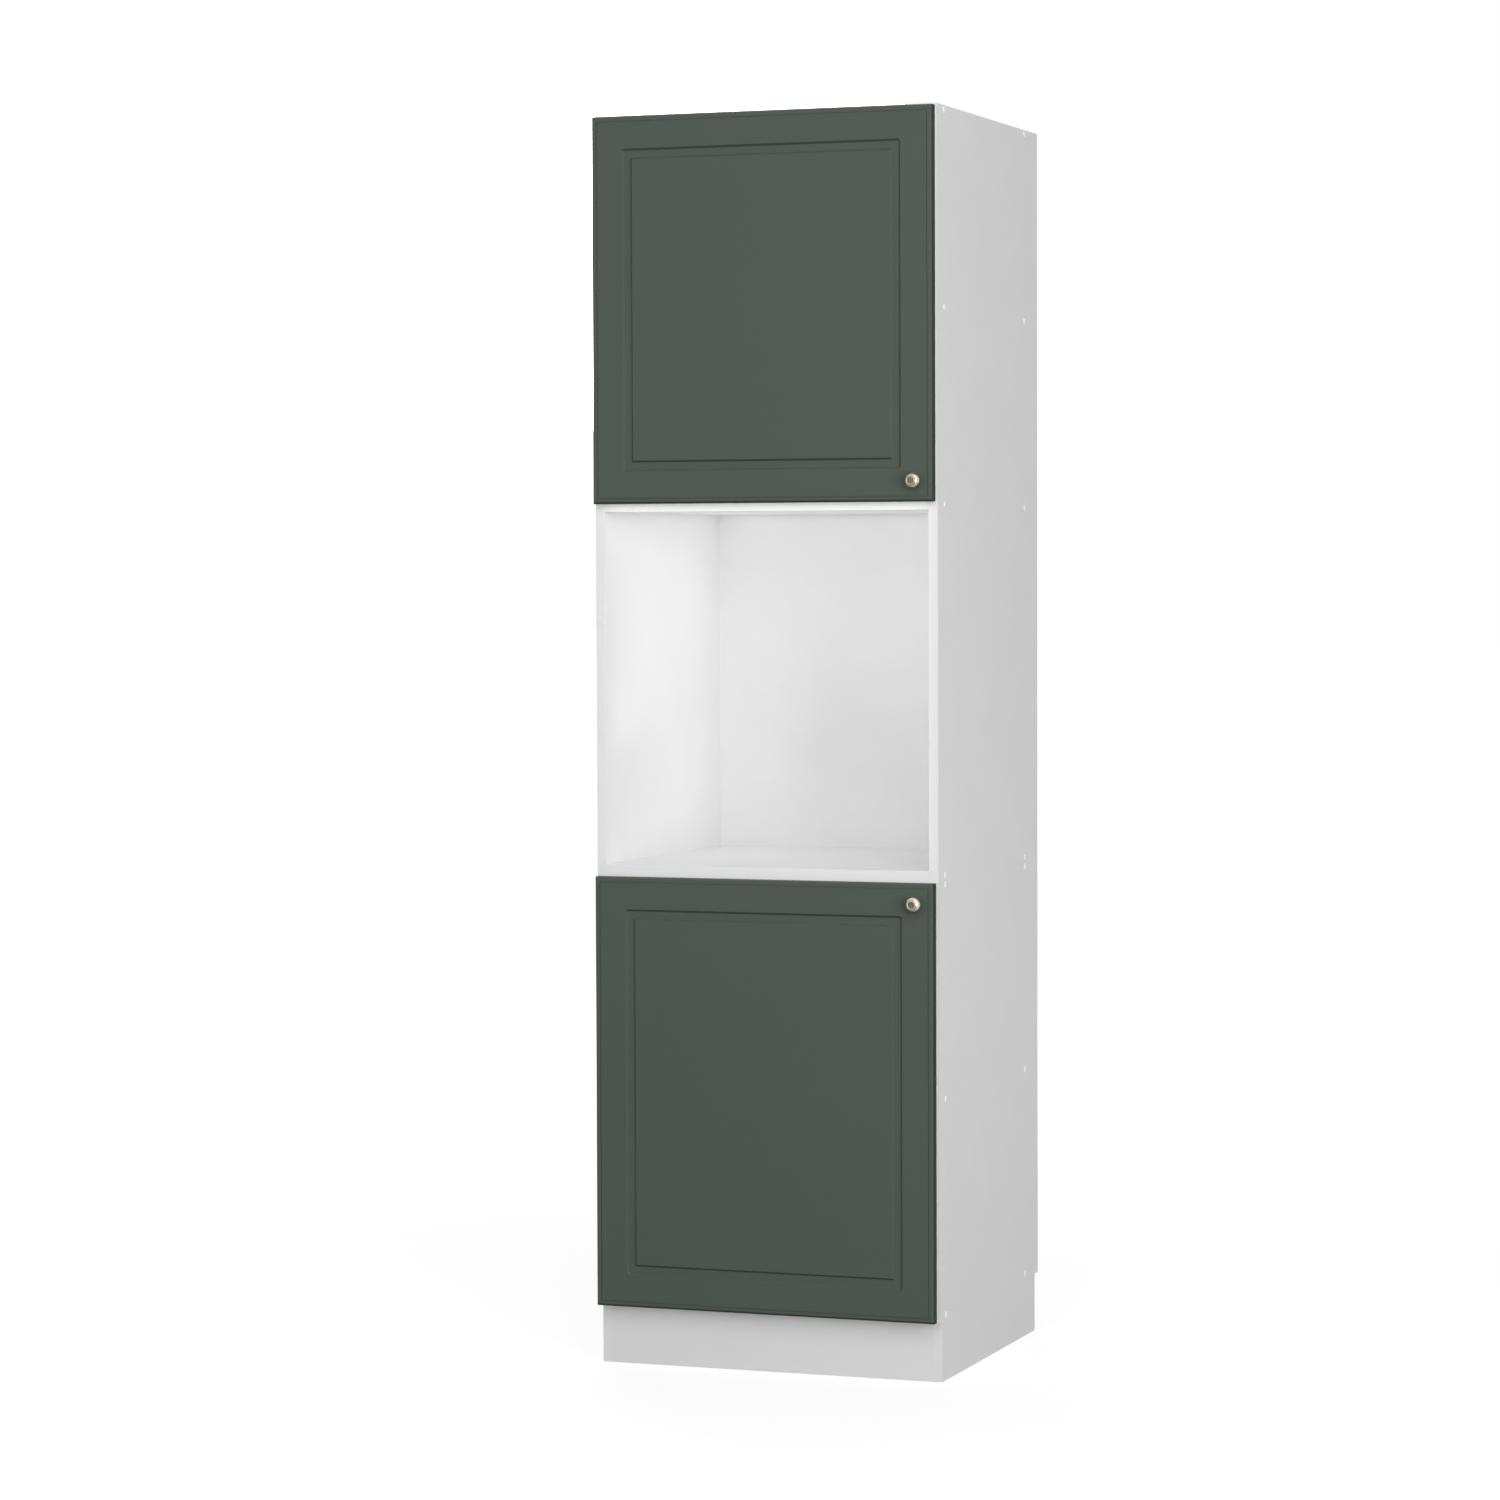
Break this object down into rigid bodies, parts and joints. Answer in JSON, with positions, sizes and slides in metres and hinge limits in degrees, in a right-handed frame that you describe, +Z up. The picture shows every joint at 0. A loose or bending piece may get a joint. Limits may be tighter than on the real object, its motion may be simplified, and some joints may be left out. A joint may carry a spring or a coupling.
{
  "type": "oven housing unit",
  "caption": "Tall white kitchen unit with an open oven niche between two cupboards with milled green doors, round metal knobs and a plinth.",
  "frame": {"origin": "on the floor, under the middle of the whole unit, knobs and screw caps included", "axes": "+Z up, -Y to the front where the doors are, +X to the right as seen from the front"},
  "size_m": [0.604, 0.611, 2.09],
  "materials": {
    "white_board": "white melamine faced board, satin",
    "white_hardboard": "white lacquered hardboard, satin",
    "green_door_film": "grey green film faced fibreboard, matt",
    "knob_metal": "champagne plated, polished",
    "hinge_steel": "nickel plated",
    "zinc_steel": "zinc plated",
    "cap_plastic": "white, satin",
    "bumper_rubber": "translucent grey, soft"
  },
  "bodies": {
    "cabinet": {"back_panel_nails": "zinc_steel", "bottom_panel": "white_board", "left_assembly_screws": "zinc_steel", "left_screw_caps": "cap_plastic", "lower_back_panel": "white_hardboard", "lower_door_bottom_hinge_arm": "hinge_steel", "lower_door_bottom_hinge_plate": "hinge_steel", "lower_door_top_hinge_arm": "hinge_steel", "lower_door_top_hinge_plate": "hinge_steel", "lower_hinge_arm_screws": "zinc_steel", "lower_hinge_plate_screws": "zinc_steel", "lower_left_side": "white_board", "lower_right_side": "white_board", "lower_shelf": "white_board", "lower_unit_top": "white_board", "niche_top": "white_board", "oven_shelf": "white_board", "plinth_board": "white_board", "plinth_bracket_screws": "zinc_steel", "plinth_brackets": "zinc_steel", "right_assembly_screws": "zinc_steel", "right_screw_caps": "cap_plastic", "top_panel": "white_board", "unit_joining_screws": "zinc_steel", "upper_back_panel": "white_hardboard", "upper_door_bottom_hinge_arm": "hinge_steel", "upper_door_bottom_hinge_plate": "hinge_steel", "upper_door_top_hinge_arm": "hinge_steel", "upper_door_top_hinge_plate": "hinge_steel", "upper_hinge_arm_screws": "zinc_steel", "upper_hinge_plate_screws": "zinc_steel", "upper_left_side": "white_board", "upper_right_side": "white_board", "upper_shelf": "white_board", "wall_bracket_screws": "zinc_steel", "wall_brackets": "zinc_steel"},
    "lower_door": {"lower_door": "green_door_film", "lower_door_bottom_hinge_cup": "hinge_steel", "lower_door_bumpers": "bumper_rubber", "lower_door_top_hinge_cup": "hinge_steel", "lower_hinge_cup_screws": "zinc_steel", "lower_hinge_pins": "zinc_steel", "lower_knob": "knob_metal", "lower_knob_screw": "zinc_steel"},
    "upper_door": {"upper_door": "green_door_film", "upper_door_bottom_hinge_cup": "hinge_steel", "upper_door_bumpers": "bumper_rubber", "upper_door_top_hinge_cup": "hinge_steel", "upper_hinge_cup_screws": "zinc_steel", "upper_hinge_pins": "zinc_steel", "upper_knob": "knob_metal", "upper_knob_screw": "zinc_steel"}
  },
  "joints": [
    {"name": "lower_door_hinge", "type": "hinge", "parent": "cabinet", "child": "lower_door", "pos_m": [-0.29, -0.2745, 0.462], "axis": [0, 0, -1], "range_deg": [0, 100]},
    {"name": "upper_door_hinge", "type": "hinge", "parent": "cabinet", "child": "upper_door", "pos_m": [-0.29, -0.2745, 1.766], "axis": [0, 0, -1], "range_deg": [0, 100]}
  ]
}
